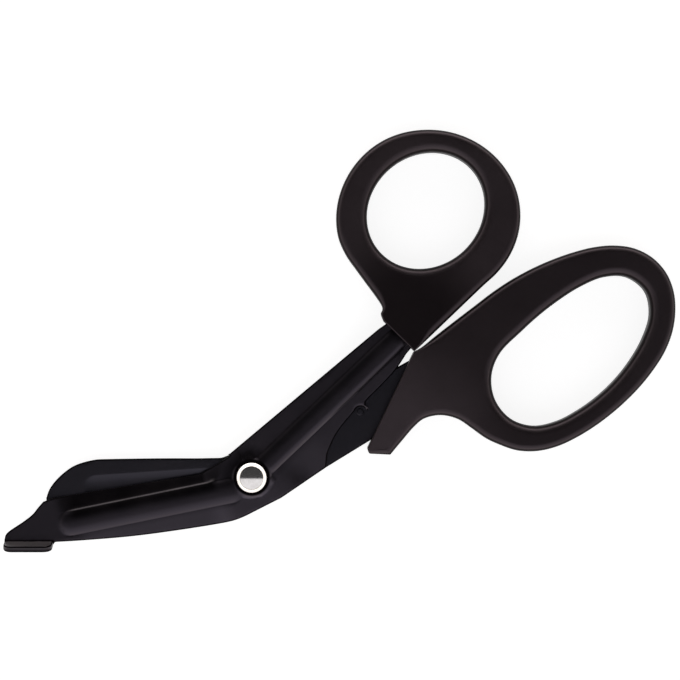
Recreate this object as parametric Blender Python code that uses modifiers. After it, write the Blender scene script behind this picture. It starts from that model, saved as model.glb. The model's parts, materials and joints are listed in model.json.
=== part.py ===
# Safety scissors: bandage shears with bent blades, a flat foot on the lower tip,
# one rivet and two moulded handles, lying flat and closed.
# Metres, +Z up. The plan is laid out from the rivet: +X to the handles, +Y to the thumb ring.
# The origin is under the middle of the finished part, on the surface that it lies on.

import math

import bmesh
import bpy
from mathutils import Matrix, Vector

# Sheet steel of both blades, with its pressed ribs and the raised pad at the rivet
SHEET = 0.0016
BLADE_GAP = 0.0003
EDGE_THICKNESS = 0.0003
RIB_HEIGHT = 0.0009
RIB_FLANK = 0.0024
RIB_FOOT = 0.00005
PAD_RADIUS = 0.0052
PAD_HEIGHT = 0.0010
PAD_FLANK = 0.0014

# Front blade: points are (along, across) from the rivet, along its rib and toward its edge
FRONT_BLADE_ANGLE = 11.5
FRONT_SPINE = (
    (0.0465, -0.0072), (0.0340, -0.0087), (0.0215, -0.0096), (0.0086, -0.0101), (0.0037, -0.0095))
FRONT_EDGE = ((0.0131, 0.0034), (0.0515, 0.0050))
FRONT_NOSE = ((0.0541, 0.0046), (0.0558, 0.0033), (0.0575, 0.0019), (0.0603, 0.0005), (0.0648, -0.0014))
FRONT_SHOULDER = (0.0052, 0.0063)
FRONT_BEVEL = (0.0100, 0.0510)
FRONT_BEVEL_LINE = 0.0011
FRONT_RIB = (0.0060, 0.0483)
FRONT_RIB_OFFSET = -0.00215
FRONT_RIB_HALF_WIDTH = 0.00325
FRONT_TROUGH_START = 0.0125

# Foot turned outward at the toe of the front blade
FOOT_LEFT = -0.0640
FOOT_TOP = -0.01655
FOOT_LENGTH = 0.0126
FOOT_WIDTH = 0.0056
FOOT_THICKNESS = 0.0016
FOOT_LEAN = 10.0
FOOT_CORNER = 0.0024

# Front tang: points are (along, across) from the rivet, along its rib and away from the finger loop
FRONT_TANG_ANGLE = 43.6
FRONT_TANG_TOP = ((0.0500, 0.0052), (-0.0003, 0.0084))
FRONT_TANG_BELLY = ((0.0019, -0.0091), (0.0157, -0.0114))
FRONT_TANG_SCALLOP = (
    (0.0183, -0.0091), (0.0205, -0.0081), (0.0231, -0.0071), (0.0265, -0.0064), (0.0310, -0.0061))
FRONT_TANG_WAIST = ((0.0412, -0.0059), (0.0463, -0.0055), (0.0510, -0.0044))
FRONT_TANG_RIB = (0.0040, 0.0515)
FRONT_TANG_RIB_HALF_WIDTH = 0.0032
FRONT_TANG_TROUGH_START = 0.0130
FRONT_INSERT_END = 0.0640
FRONT_INSERT_HALF_WIDTH = 0.0034

# Back blade: points are (along, across) from the rivet, along its rib and toward its spine
BACK_BLADE_ANGLE = 3.8
BACK_TIP = ((0.0536, -0.0020), (0.0528, 0.0000), (0.0513, 0.0020), (0.0488, 0.0042), (0.0455, 0.0061))
BACK_SPINE = ((0.0410, 0.0071), (0.0370, 0.0071), (0.0235, 0.0064), (0.0105, 0.0056))
BACK_EDGE = ((0.0130, -0.0036), (0.0505, -0.0050))
BACK_EDGE_ROUND = ((0.0525, -0.0044), (0.0535, -0.0032))
BACK_HEEL = ((0.0020, -0.0086), (0.0060, -0.0062), (0.0095, -0.0043))
BACK_BEVEL = (0.0110, 0.0490)
BACK_BEVEL_LINE = -0.0032
BACK_RIB = (0.0060, 0.0403)
BACK_RIB_OFFSET = -0.0001
BACK_RIB_HALF_WIDTH = 0.0031
BACK_TROUGH_START = 0.0125

# Back tang: points are (along, across) from the rivet, along its edges and toward the thumb ring
BACK_TANG_ANGLE = 31.5
BACK_TANG_TOP = ((-0.0022, 0.0080), (0.0100, 0.0074), (0.0250, 0.0060), (0.0400, 0.0050), (0.0500, 0.0045))
BACK_TANG_BOTTOM = -0.0079
BACK_TANG_FULL = (0.0040, 0.0360)
BACK_INSERT_END = 0.0640
BACK_INSERT_SIDES = (-0.0066, 0.0034)

# Fit of the tangs in the handles
TANG_CLEARANCE = 0.0003

# Stop lug raised on the back tang, in a notch of the front one
LUG_PLACE = (0.0284, 0.0172)
LUG_RADIUS = 0.0014
LUG_HEIGHT = 0.0012
LUG_CLEARANCE = 0.0003

# Rivet
SHANK_RADIUS = 0.00225
SHANK_CLEARANCE = 0.0002
HEAD_RADIUS = 0.0040
HEAD_HEIGHT = 0.0010
HEAD_DOME = 0.0002
TAIL_RADIUS = 0.0034
TAIL_HEIGHT = 0.0008
RIM_ROUNDING = 0.0004
SEAT_GAP = 0.0001

# Both handles
HANDLE_THICKNESS = 0.0080
HANDLE_ROUNDING = 0.0017

# Thumb ring
THUMB_RING_CENTRE = (0.0457, 0.0661)
THUMB_RING_RADIUS = 0.02380
THUMB_HOLE_CENTRE = (0.0449, 0.0692)
THUMB_HOLE_LENGTH = 0.0324
THUMB_HOLE_WIDTH = 0.0291
THUMB_HOLE_ANGLE = 45.0
THUMB_RING_SWEEP = (-2.0, 188.0)
THUMB_NECK_LEFT = (
    (0.0253, 0.0561), (0.0288, 0.0512), (0.0319, 0.0470), (0.0336, 0.0438), (0.0341, 0.0403))
THUMB_NECK_RIGHT = (
    (0.0420, 0.0328), (0.0444, 0.0348), (0.0521, 0.0424), (0.0594, 0.0495), (0.0643, 0.0540),
    (0.0679, 0.0597))

# Finger loop: knots of its opening from the loop's centre, each with the wall outside it
LOOP_CENTRE = (0.0824, 0.0329)
LOOP_KNOTS = (
    (-0.0090, -0.0202, 0.0056), (0.0020, -0.0160, 0.0051), (0.0124, -0.0068, 0.0057),
    (0.0194, 0.0035, 0.0059), (0.0210, 0.0115, 0.0057), (0.0178, 0.0175, 0.0065),
    (0.0112, 0.0199, 0.0068), (0.0037, 0.0173, 0.0081), (-0.0061, 0.0110, 0.0107))
LOOP_NECK_SIDE = ((-0.0142, 0.0034), (-0.0197, -0.0039), (-0.0205, -0.0105), (-0.0174, -0.0165))
LOOP_CREST = ((0.0667, 0.0505), (0.0581, 0.0443), (0.0526, 0.0404), (0.0474, 0.0364), (0.0441, 0.0337))
LOOP_COLLAR = ((0.0417, 0.0320), (0.0307, 0.0093), (0.0298, 0.0075), (0.0303, 0.0062), (0.0358, 0.0059))
LOOP_REST = (
    (0.0387, 0.0096), (0.0419, 0.0134), (0.0447, 0.0155), (0.0489, 0.0163), (0.0532, 0.0153),
    (0.0570, 0.0129), (0.0614, 0.0097), (0.0657, 0.0077))

# Fineness of round stretches
ARC_STEP = 10.0
SPAN_STEPS = 3
CROWN_STEPS = 4
ROUNDING_STEPS = 2
ROUND_SIDES = 40
SHARP_ANGLE = 35.0

# How far cutters pass the faces that they cut, and the distance that counts as none
CUT_MARGIN = 0.0010
GRIND_REACH = 0.0030
TOLERANCE = 0.00001

# Heights of the parting plane and of the faces and the core of both sheets
MIDDLE = HANDLE_THICKNESS / 2
INNER = MIDDLE + BLADE_GAP / 2
CORE = INNER + SHEET / 2
OUTER = INNER + SHEET
BACK_INNER = MIDDLE - BLADE_GAP / 2
BACK_CORE = BACK_INNER - SHEET / 2


# Plan geometry: points seen from above, from the rivet

def blade_points(angle, pairs):
    turn = Matrix.Rotation(math.radians(angle), 2)
    return [turn @ Vector((-along, across)) for along, across in pairs]


def tang_points(angle, pairs):
    turn = Matrix.Rotation(math.radians(angle), 2)
    return [turn @ Vector((along, across)) for along, across in pairs]


def arc(centre, radius, start, end):
    count = max(2, round(abs(end - start) / ARC_STEP))
    angles = [math.radians(start + (end - start) * step / count) for step in range(count + 1)]
    return [Vector(centre) + radius * Vector((math.cos(angle), math.sin(angle))) for angle in angles]


def circle(centre, radius):
    return arc(centre, radius, 0, 360)[:-1]


def ellipse(centre, length, width, angle):
    stretch = Matrix(((length / 2, 0), (0, width / 2)))
    turn = Matrix.Rotation(math.radians(angle), 2)
    return [Vector(centre) + turn @ stretch @ point for point in circle((0, 0), 1)]


def curved_span(before, first, last, after):
    span = []
    for step in range(1, SPAN_STEPS + 1):
        t = step / SPAN_STEPS
        line = 2 * first + (last - before) * t
        square = (2 * before - 5 * first + 4 * last - after) * t ** 2
        cube = (3 * first - before - 3 * last + after) * t ** 3
        span.append((line + square + cube) / 2)
    return span


# A smooth open line through the points
def smooth(points):
    points = [Vector(point) for point in points]
    padded = [points[0], *points, points[-1]]
    line = [points[0]]
    for index in range(len(points) - 1):
        line += curved_span(*padded[index:index + 4])
    return line


# A smooth closed line through the points
def smooth_loop(points):
    points = [Vector(point) for point in points]
    padded = [points[-1], *points, points[0], points[1]]
    line = []
    for index in range(len(points)):
        line += curved_span(*padded[index:index + 4])
    return line


# The outline of a bar with round ends
def capsule(start, end, radius):
    heading = math.degrees(math.atan2(end.y - start.y, end.x - start.x))
    return arc(start, radius, heading + 90, heading + 270) + arc(end, radius, heading - 90, heading + 90)


# A counterclockwise closed line, moved outward by the wall at each of its points
def pushed_out(line, walls):
    moved = []
    for index, point in enumerate(line):
        arriving = (point - line[index - 1]).normalized()
        leaving = (line[(index + 1) % len(line)] - point).normalized()
        normal = Vector((arriving.y + leaving.y, -arriving.x - leaving.x))
        moved.append(point + normal * walls[index] / (1 + arriving.dot(leaving)))
    return moved


# Solids

def place(obj, collection):
    collection.objects.link(obj)
    if collection == cutters:
        obj.hide_render = True
        obj.display_type = "WIRE"
    return obj


# A flat outline with any holes, between two heights, its edges rounded if asked
def prism(name, collection, outlines, bottom, top, rounding=0.0):
    curve = bpy.data.curves.new(name + "_outline", "CURVE")
    curve.dimensions = "2D"
    curve.fill_mode = "BOTH"
    curve.extrude = (top - bottom) / 2 - rounding
    curve.bevel_depth = rounding
    curve.bevel_resolution = ROUNDING_STEPS
    curve.offset = -rounding
    for outline in outlines:
        spline = curve.splines.new("POLY")
        spline.points.add(len(outline) - 1)
        for knot, point in zip(spline.points, outline):
            knot.co = (point.x, point.y, 0.0, 1.0)
        spline.use_cyclic_u = True
    guide = bpy.data.objects.new(name + "_guide", curve)
    collection.objects.link(guide)
    graph = bpy.context.evaluated_depsgraph_get()
    mesh = bpy.data.meshes.new_from_object(guide.evaluated_get(graph))
    bpy.data.objects.remove(guide, do_unlink=True)
    bpy.data.curves.remove(curve)
    mesh.transform(Matrix.Translation((0, 0, (top + bottom) / 2)))
    shape = bmesh.new()
    shape.from_mesh(mesh)
    bmesh.ops.remove_doubles(shape, verts=shape.verts, dist=TOLERANCE)
    bmesh.ops.recalc_face_normals(shape, faces=shape.faces)
    shape.to_mesh(mesh)
    shape.free()
    mesh.name = name
    return place(bpy.data.objects.new(name, mesh), collection)


# A cutter or rib with a crowned top, which rises in steps that flatten toward its middle
def crowned_bar(name, outline, bottom, foot, height=RIB_HEIGHT, flank=RIB_FLANK):
    bar = prism(name, cutters, [outline], bottom, foot)
    shape = bmesh.new()
    shape.from_mesh(bar.data)
    risen = 0.0
    for step in range(1, CROWN_STEPS + 1):
        level = height * (1 - (1 - step / CROWN_STEPS) ** 2)
        top = foot + risen - TOLERANCE
        crown = [face for face in shape.faces if min(vert.co.z for vert in face.verts) > top]
        bmesh.ops.inset_region(
            shape, faces=crown, thickness=flank / CROWN_STEPS, depth=level - risen,
            use_even_offset=True)
        risen = level
    shape.to_mesh(bar.data)
    shape.free()
    return bar


def cylinder(name, centre, radius, bottom, top):
    shape = bmesh.new()
    middle = Matrix.Translation((centre[0], centre[1], (top + bottom) / 2))
    bmesh.ops.create_cone(
        shape, cap_ends=True, segments=ROUND_SIDES, radius1=radius, radius2=radius, depth=top - bottom,
        matrix=middle @ Matrix.Rotation(math.pi / ROUND_SIDES, 4, "Z"))
    mesh = bpy.data.meshes.new(name)
    shape.to_mesh(mesh)
    shape.free()
    return place(bpy.data.objects.new(name, mesh), cutters)


# The wedge that grinds an outer face down to a cutting edge, from the bevel's line outward
def grinding_wedge(name, angle, span, line, edge, run_out):
    shape = bmesh.new()
    side = 1 if edge[0][1] > line else -1
    for along, slant, (_, edge_across) in zip(span, (-run_out, CUT_MARGIN), edge):
        slope = (SHEET - EDGE_THICKNESS) / (edge_across - line)
        reach = edge_across + side * GRIND_REACH
        first = blade_points(angle, [(along, line - CUT_MARGIN / slope)])[0]
        last = blade_points(angle, [(along + slant, reach)])[0]
        shape.verts.new((first.x, first.y, OUTER + CUT_MARGIN))
        shape.verts.new((last.x, last.y, OUTER + CUT_MARGIN))
        shape.verts.new((last.x, last.y, OUTER - slope * (reach - line)))
    bmesh.ops.convex_hull(shape, input=shape.verts)
    bmesh.ops.recalc_face_normals(shape, faces=shape.faces)
    mesh = bpy.data.meshes.new(name)
    shape.to_mesh(mesh)
    shape.free()
    return place(bpy.data.objects.new(name, mesh), cutters)


def boolean(target, tool, operation):
    modifier = target.modifiers.new(tool.name, "BOOLEAN")
    modifier.operation = operation
    modifier.solver = "EXACT"
    modifier.object = tool


# Turns a shape over, so that its outer face is below the parting plane
def turned_over(obj):
    obj.data.transform(Matrix.Translation((0, 0, 2 * MIDDLE)) @ Matrix.Diagonal((1, 1, -1, 1)))
    obj.data.flip_normals()
    return obj


# One blade: the flat sheet, its pressed ribs and troughs, its ground edge and its rivet hole
def stamped(name, outline, ribs, troughs, wedge, extras=()):
    blade = prism(name, pieces, [outline], INNER, OUTER)
    pad = crowned_bar(
        f"{name}_pad", circle((0, 0), PAD_RADIUS), CORE, OUTER + RIB_FOOT, PAD_HEIGHT, PAD_FLANK)
    tools = [("UNION", pad)]
    for number, rib in enumerate(ribs):
        bar = crowned_bar(f"{name}_rib_{number}", rib, CORE, OUTER + RIB_FOOT)
        tools.append(("UNION", bar))
    for number, trough in enumerate(troughs):
        bar = crowned_bar(f"{name}_trough_{number}", trough, INNER - CUT_MARGIN, INNER + RIB_FOOT)
        tools.append(("DIFFERENCE", bar))
    tools.append(("DIFFERENCE", wedge))
    tools += extras
    top = OUTER + RIB_HEIGHT + PAD_HEIGHT
    hole = cylinder(f"{name}_hole", (0, 0), SHANK_RADIUS + SHANK_CLEARANCE, INNER - CUT_MARGIN, top)
    tools.append(("DIFFERENCE", hole))
    for operation, tool in tools:
        boolean(blade, tool, operation)
    return blade, [tool for _, tool in tools]


# Front half

def front_tail():
    return tang_points(FRONT_TANG_ANGLE, (
        FRONT_TANG_WAIST[-1], (FRONT_INSERT_END, -FRONT_INSERT_HALF_WIDTH),
        (FRONT_INSERT_END, FRONT_INSERT_HALF_WIDTH), FRONT_TANG_TOP[0]))


def front_outline():
    bottom = FOOT_TOP - FOOT_THICKNESS / 2
    sole = [Vector((FOOT_LEFT, bottom)), Vector((FOOT_LEFT + FOOT_LENGTH, bottom))]
    spine = smooth([sole[1], *blade_points(FRONT_BLADE_ANGLE, FRONT_SPINE)])
    belly = tang_points(FRONT_TANG_ANGLE, FRONT_TANG_BELLY)
    waist = smooth(tang_points(FRONT_TANG_ANGLE, FRONT_TANG_SCALLOP + FRONT_TANG_WAIST))
    top = tang_points(FRONT_TANG_ANGLE, FRONT_TANG_TOP)
    edge = blade_points(FRONT_BLADE_ANGLE, (FRONT_SHOULDER, *FRONT_EDGE))
    nose = smooth([*blade_points(FRONT_BLADE_ANGLE, FRONT_NOSE), Vector((FOOT_LEFT, FOOT_TOP))])
    return [sole[0], *spine, *belly, *waist, *front_tail()[1:3], *top, *edge, *nose]


def make_foot():
    half = FOOT_LENGTH / 2
    straight = FOOT_WIDTH - FOOT_CORNER
    outline = [Vector((-half, 0)), Vector((half, 0))]
    outline += arc((half - FOOT_CORNER, straight), FOOT_CORNER, 0, 90)
    outline += arc((FOOT_CORNER - half, straight), FOOT_CORNER, 90, 180)
    foot = prism("foot_plate", cutters, [outline], -FOOT_THICKNESS / 2, FOOT_THICKNESS / 2)
    lift = math.sin(math.radians(FOOT_LEAN)) * FOOT_THICKNESS / 2
    foot.data.transform(Matrix.Rotation(math.radians(90 + FOOT_LEAN), 4, "X"))
    middle = Vector((FOOT_LEFT + half, FOOT_TOP - FOOT_THICKNESS / 2, INNER + lift))
    foot.data.transform(Matrix.Translation(middle))
    return foot


def make_front_blade():
    rib = blade_points(FRONT_BLADE_ANGLE, [(along, FRONT_RIB_OFFSET) for along in FRONT_RIB])
    trough = blade_points(FRONT_BLADE_ANGLE, [(FRONT_TROUGH_START, FRONT_RIB_OFFSET)])
    tang_rib = tang_points(FRONT_TANG_ANGLE, [(along, 0) for along in FRONT_TANG_RIB])
    tang_trough = tang_points(FRONT_TANG_ANGLE, [(FRONT_TANG_TROUGH_START, 0)])
    ribs = (capsule(*rib, FRONT_RIB_HALF_WIDTH), capsule(*tang_rib, FRONT_TANG_RIB_HALF_WIDTH))
    troughs = (
        capsule(trough[0], rib[1], FRONT_RIB_HALF_WIDTH),
        capsule(tang_trough[0], tang_rib[1], FRONT_TANG_RIB_HALF_WIDTH))
    wedge = grinding_wedge(
        "front_grind", FRONT_BLADE_ANGLE, FRONT_BEVEL, FRONT_BEVEL_LINE, FRONT_EDGE,
        FRONT_BEVEL[0] - FRONT_SHOULDER[0])
    notch = cylinder(
        "lug_notch", LUG_PLACE, LUG_RADIUS + LUG_CLEARANCE, INNER - CUT_MARGIN, OUTER + CUT_MARGIN)
    extras = (("UNION", make_foot()), ("DIFFERENCE", notch))
    blade, _ = stamped("front_blade", front_outline(), ribs, troughs, wedge, extras)
    return blade


def make_thumb_handle():
    ring = arc(THUMB_RING_CENTRE, THUMB_RING_RADIUS, *THUMB_RING_SWEEP)
    left = smooth([ring[-1], *THUMB_NECK_LEFT])
    right = smooth([*THUMB_NECK_RIGHT, ring[0]])
    outline = ring + left[1:] + right[:-1]
    hole = ellipse(THUMB_HOLE_CENTRE, THUMB_HOLE_LENGTH, THUMB_HOLE_WIDTH, THUMB_HOLE_ANGLE)
    handle = prism("thumb_ring_handle", pieces, [outline, hole], 0.0, HANDLE_THICKNESS, HANDLE_ROUNDING)
    tail = front_tail()
    pocket = prism(
        "front_pocket", cutters, [pushed_out(tail, [TANG_CLEARANCE] * len(tail))],
        INNER - TANG_CLEARANCE, OUTER + TANG_CLEARANCE)
    rib = tang_points(FRONT_TANG_ANGLE, [(along, 0) for along in FRONT_TANG_RIB])
    channel = crowned_bar(
        "front_rib_channel", capsule(*rib, FRONT_TANG_RIB_HALF_WIDTH + TANG_CLEARANCE), INNER,
        OUTER + RIB_FOOT + TANG_CLEARANCE)
    boolean(handle, pocket, "DIFFERENCE")
    boolean(handle, channel, "DIFFERENCE")
    return handle


# Back half

def back_tail():
    return tang_points(BACK_TANG_ANGLE, (
        (BACK_TANG_TOP[-3][0], BACK_TANG_BOTTOM), (BACK_TANG_FULL[1], BACK_TANG_BOTTOM),
        (BACK_INSERT_END, BACK_INSERT_SIDES[0]), (BACK_INSERT_END, BACK_INSERT_SIDES[1]),
        BACK_TANG_TOP[-1], BACK_TANG_TOP[-2], BACK_TANG_TOP[-3]))


def back_outline():
    spine = blade_points(BACK_BLADE_ANGLE, BACK_TIP + BACK_SPINE)
    upper = smooth([*spine, *tang_points(BACK_TANG_ANGLE, BACK_TANG_TOP)])
    bottom = tang_points(BACK_TANG_ANGLE, [(along, BACK_TANG_BOTTOM) for along in BACK_TANG_FULL])
    heel = smooth([bottom[0], *blade_points(BACK_BLADE_ANGLE, (*BACK_HEEL, BACK_EDGE[0]))])
    edge = smooth(blade_points(BACK_BLADE_ANGLE, (BACK_EDGE[1], *BACK_EDGE_ROUND, BACK_TIP[0])))
    clockwise = [*upper, *back_tail()[3:1:-1], bottom[1], *heel, *edge[:-1]]
    return clockwise[::-1]


def make_back_blade():
    rib = blade_points(BACK_BLADE_ANGLE, [(along, BACK_RIB_OFFSET) for along in BACK_RIB])
    trough = blade_points(BACK_BLADE_ANGLE, [(BACK_TROUGH_START, BACK_RIB_OFFSET)])
    ribs = (capsule(*rib, BACK_RIB_HALF_WIDTH),)
    troughs = (capsule(trough[0], rib[1], BACK_RIB_HALF_WIDTH),)
    wedge = grinding_wedge(
        "back_grind", BACK_BLADE_ANGLE, BACK_BEVEL, BACK_BEVEL_LINE, BACK_EDGE, CUT_MARGIN)
    blade, tools = stamped("back_blade", back_outline(), ribs, troughs, wedge)
    for shape in (blade, *tools):
        turned_over(shape)
    lug = cylinder(
        "stop_lug", LUG_PLACE, LUG_RADIUS, BACK_CORE, BACK_INNER + LUG_HEIGHT)
    boolean(blade, lug, "UNION")
    return blade


def make_finger_handle():
    centre = Vector(LOOP_CENTRE)
    free_side = [centre + Vector(knot[:2]) for knot in LOOP_KNOTS]
    opening = free_side + [centre + Vector(knot) for knot in LOOP_NECK_SIDE]
    walls = [knot[2] for knot in LOOP_KNOTS] + [0.0] * len(LOOP_NECK_SIDE)
    rim = pushed_out(opening, walls)[:len(LOOP_KNOTS)]
    outline = smooth([LOOP_COLLAR[-1], *LOOP_REST, *rim, *LOOP_CREST, LOOP_COLLAR[0]])
    outline += [Vector(point) for point in LOOP_COLLAR[1:-1]]
    handle = prism(
        "finger_loop_handle", pieces, [outline, smooth_loop(opening)], 0.0, HANDLE_THICKNESS,
        HANDLE_ROUNDING)
    tail = back_tail()
    pocket = prism(
        "back_pocket", cutters, [pushed_out(tail, [TANG_CLEARANCE] * len(tail))],
        BACK_INNER - SHEET - TANG_CLEARANCE, BACK_INNER + TANG_CLEARANCE)
    boolean(handle, pocket, "DIFFERENCE")
    return handle


# The rivet is turned: a domed head, a shank through both blades and a flat tail
def make_rivet():
    seat = OUTER + RIB_FOOT + max(RIB_HEIGHT, PAD_HEIGHT) + SEAT_GAP
    head_top = seat + HEAD_HEIGHT
    tail_seat = 2 * MIDDLE - seat
    tail_bottom = tail_seat - TAIL_HEIGHT
    head_rim = arc((HEAD_RADIUS - RIM_ROUNDING, head_top - RIM_ROUNDING), RIM_ROUNDING, 90, 0)
    tail_rim = arc((TAIL_RADIUS - RIM_ROUNDING, tail_bottom + RIM_ROUNDING), RIM_ROUNDING, 0, -90)
    head = [Vector((0, head_top + HEAD_DOME)), *head_rim, Vector((HEAD_RADIUS, seat))]
    shank = [Vector((SHANK_RADIUS, seat)), Vector((SHANK_RADIUS, tail_seat))]
    tail = [Vector((TAIL_RADIUS, tail_seat)), *tail_rim, Vector((0, tail_bottom))]
    profile = head + shank + tail
    shape = bmesh.new()
    verts = [shape.verts.new((point.x, 0, point.y)) for point in profile]
    for first, second in zip(verts, verts[1:]):
        shape.edges.new((first, second))
    mesh = bpy.data.meshes.new("pivot_rivet")
    shape.to_mesh(mesh)
    shape.free()
    rivet = place(bpy.data.objects.new("pivot_rivet", mesh), pieces)
    screw = rivet.modifiers.new("Turned", "SCREW")
    screw.steps = ROUND_SIDES
    screw.render_steps = ROUND_SIDES
    screw.use_merge_vertices = True
    screw.merge_threshold = TOLERANCE
    return rivet


# Assembly

def make_material(name, colour, roughness, metallic):
    material = bpy.data.materials.new(name)
    material.use_nodes = True
    shader = material.node_tree.nodes["Principled BSDF"]
    shader.inputs["Base Color"].default_value = (*colour, 1.0)
    shader.inputs["Roughness"].default_value = roughness
    shader.inputs["Metallic"].default_value = metallic
    return material


def make_empty(name, parent=None):
    empty = bpy.data.objects.new(name, None)
    empty.empty_display_size = HEAD_RADIUS
    empty.parent = parent
    pieces.objects.link(empty)
    return empty


def dress(obj, material, parent):
    obj.parent = parent
    obj.data.materials.clear()
    obj.data.materials.append(material)
    obj.data.shade_smooth()
    obj.data.set_sharp_from_angle(angle=math.radians(SHARP_ANGLE))


# The middle of the finished pieces in plan
def plan_middle(objects):
    graph = bpy.context.evaluated_depsgraph_get()
    corners = []
    for obj in objects:
        finished = obj.evaluated_get(graph)
        corners += [finished.matrix_world @ vert.co for vert in finished.data.vertices]
    across = [corner.x for corner in corners]
    along = [corner.y for corner in corners]
    return (min(across) + max(across)) / 2, (min(along) + max(along)) / 2


for old in list(bpy.data.objects):
    bpy.data.objects.remove(old, do_unlink=True)
pieces = bpy.data.collections.new("safety_scissors")
cutters = bpy.data.collections.new("cutters")
for collection in (pieces, cutters):
    bpy.context.scene.collection.children.link(collection)

black_steel = make_material("black_coated_steel", (0.020, 0.019, 0.021), 0.38, 0.6)
black_plastic = make_material("black_plastic", (0.022, 0.020, 0.019), 0.52, 0.0)
bright_steel = make_material("bright_steel", (0.72, 0.70, 0.66), 0.22, 1.0)

whole = make_empty("scissors")
back_half = make_empty("back_half", whole)
front_half = make_empty("front_half", whole)
dressing = (
    (make_back_blade(), black_steel, back_half),
    (make_finger_handle(), black_plastic, back_half),
    (make_rivet(), bright_steel, back_half),
    (make_front_blade(), black_steel, front_half),
    (make_thumb_handle(), black_plastic, front_half))
for piece, finish, half_empty in dressing:
    dress(piece, finish, half_empty)

middle_x, middle_y = plan_middle([piece for piece, _, _ in dressing])
whole.location = (-middle_x, -middle_y, 0)
for cutter in cutters.objects:
    cutter.parent = whole
print(f"rivet axis at {-middle_x:.6f}, {-middle_y:.6f}")
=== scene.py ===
import json
import math

import bmesh
import bpy
from mathutils import Matrix, Vector


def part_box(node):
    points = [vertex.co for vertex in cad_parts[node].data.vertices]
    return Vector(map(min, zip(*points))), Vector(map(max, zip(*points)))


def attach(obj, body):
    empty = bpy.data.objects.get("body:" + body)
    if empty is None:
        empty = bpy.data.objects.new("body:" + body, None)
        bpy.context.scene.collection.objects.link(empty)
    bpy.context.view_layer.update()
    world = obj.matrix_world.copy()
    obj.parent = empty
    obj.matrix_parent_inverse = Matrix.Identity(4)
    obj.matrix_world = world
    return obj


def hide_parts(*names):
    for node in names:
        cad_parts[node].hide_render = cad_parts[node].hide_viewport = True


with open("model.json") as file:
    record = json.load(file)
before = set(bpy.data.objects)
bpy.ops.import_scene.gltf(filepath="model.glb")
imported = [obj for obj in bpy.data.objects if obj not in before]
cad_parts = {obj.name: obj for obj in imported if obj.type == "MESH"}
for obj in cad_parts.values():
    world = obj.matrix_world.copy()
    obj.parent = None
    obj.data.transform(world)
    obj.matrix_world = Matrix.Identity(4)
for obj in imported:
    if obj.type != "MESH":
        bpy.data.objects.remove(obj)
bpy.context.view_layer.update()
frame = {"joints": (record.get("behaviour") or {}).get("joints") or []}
pivot = Vector(frame["joints"][0]["pos_m"])   # the rivet's axis, at the parting plane
parting = pivot.z

# Lengths are in metres and angles in degrees. Plan points count from the rivet.

# Sheet steel of both blades
sheetSteel = {
    "thickness": 0.0016,
    "gap": 0.0003,
    "edgeRounding": 0.00042,
    "edgeSegments": 4,
    "rimAngle": 50.0,
    "spacing": 0.00012,
    "ribHeight": 0.00095,
    "padHeight": 0.0010,
    "padInner": 0.0041,
    "padOuter": 0.0056,
    "shankHole": 0.00245,
    "blend": 0.00022,
    "ribSoftness": 0.05,
    "grooveDepth": 0.00007,
    "grooveWidth": 0.00013,
    "grooveOverlap": 0.1,
    "smoothAngle": 38.0,
    "rimSpan": (0.0, 0.07),
    "rimShade": 0.97,
}


def setMode(mode):
    bpy.ops.object.mode_set(mode=mode)


def selectMesh(action="SELECT"):
    bpy.ops.mesh.select_all(action=action)


# Selects the edges that a test wants, in edit mode
def selectEdges(piece, wanted):
    selectMesh("DESELECT")
    bpy.ops.mesh.select_mode(type="EDGE")
    shape = bmesh.from_edit_mesh(piece.data)
    for edge in shape.edges:
        edge.select = wanted(edge)
    shape.select_flush(True)
    bmesh.update_edit_mesh(piece.data)


def deselectAll():
    if bpy.context.mode != "OBJECT":
        setMode("OBJECT")
    bpy.ops.object.select_all(action="DESELECT")


def makeActive(piece):
    deselectAll()
    piece.select_set(True)
    bpy.context.view_layer.objects.active = piece


def turned(angle, x, y):
    return Matrix.Rotation(math.radians(angle), 2) @ Vector((x, y))


def onBlade(form, *keys):
    return [turned(form["bladeAngle"], -along, across) for key in keys for along, across in form[key]]


def onTang(form, key):
    return [turned(form["tangAngle"], along, across) for along, across in form[key]]


def arc(centre, radius, start, end, step=10.0):
    count = max(2, round(abs(end - start) / step))
    angles = [math.radians(start + (end - start) * index / count) for index in range(count + 1)]
    return [Vector(centre) + radius * Vector((math.cos(a), math.sin(a))) for a in angles]


def smoothStretch(before, first, last, after, steps):
    stretch = []
    for index in range(1, steps + 1):
        t = index / steps
        line = 2 * first + (last - before) * t
        square = (2 * before - 5 * first + 4 * last - after) * t ** 2
        cube = (3 * first - before - 3 * last + after) * t ** 3
        stretch.append((line + square + cube) / 2)
    return stretch


def smoothLine(points, steps=4, closed=False):
    points = [Vector(point) for point in points]
    padded = [points[-1], *points, *points[:2]] if closed else [points[0], *points, points[-1]]
    line = [] if closed else [points[0]]
    for index in range(len(padded) - 3):
        line += smoothStretch(*padded[index:index + 4], steps)
    return line


def thinned(line, spacing):
    kept = [line[0]]
    for point in line[1:]:
        if (point - kept[-1]).length > spacing:
            kept.append(point)
    if (kept[-1] - kept[0]).length < spacing:
        kept.pop()
    return kept


# A circle primitive drawn out to given places
def circleFrom(name, places, fill):
    deselectAll()
    bpy.ops.mesh.primitive_circle_add(
        vertices=len(places), radius=0.01, fill_type=fill, location=(0, 0, 0))
    piece = bpy.context.object
    piece.name = piece.data.name = name
    for vertex, place in zip(piece.data.vertices, places):
        vertex.co = place
    return piece


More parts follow.
